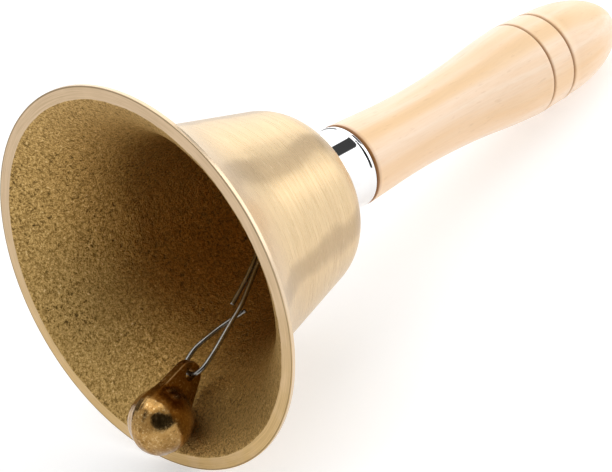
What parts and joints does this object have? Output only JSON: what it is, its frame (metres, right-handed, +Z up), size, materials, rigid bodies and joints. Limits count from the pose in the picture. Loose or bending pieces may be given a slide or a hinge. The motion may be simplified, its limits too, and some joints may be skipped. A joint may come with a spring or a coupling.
{
  "type": "hand bell",
  "caption": "Small brass hand bell lying on its side, with a turned wooden handle, a chrome ferrule and a ball clapper on a bent wire.",
  "frame": {"origin": "centre of the whole object's footprint box, on the surface that the bell lies on", "axes": "+Z up, +X along the bell towards the pommel, which is also its longest extent, +Y to the side"},
  "size_m": [0.1554, 0.0798, 0.0779],
  "materials": {
    "bell_brass": "turned and brushed outside and on the lip, rough as cast inside",
    "clapper_brass": "cast ball tumbled smooth and dark",
    "ferrule_chrome": "polished plating",
    "steel": "drawn steel wire, slightly dull",
    "handle_wood": "pale close-grained hardwood under clear satin lacquer"
  },
  "bodies": {
    "bell": {"bell_shell": "bell_brass", "ferrule": "ferrule_chrome", "handle": "handle_wood", "eye_washer": "steel", "screw_eye": "steel"},
    "wire": {"hanger_wire": "steel"},
    "clapper": {"clapper": "clapper_brass"}
  },
  "joints": [
    {"name": "wire_swing", "type": "hinge", "parent": "bell", "child": "wire", "pos_m": [-0.02326, 0, 0.02983], "axis": [0, 1, 0], "range_deg": [0, 60]},
    {"name": "clapper_swing", "type": "hinge", "parent": "wire", "child": "clapper", "pos_m": [-0.06089, 0, 0.0153], "axis": [0, 1, 0], "range_deg": [0, 40]}
  ]
}
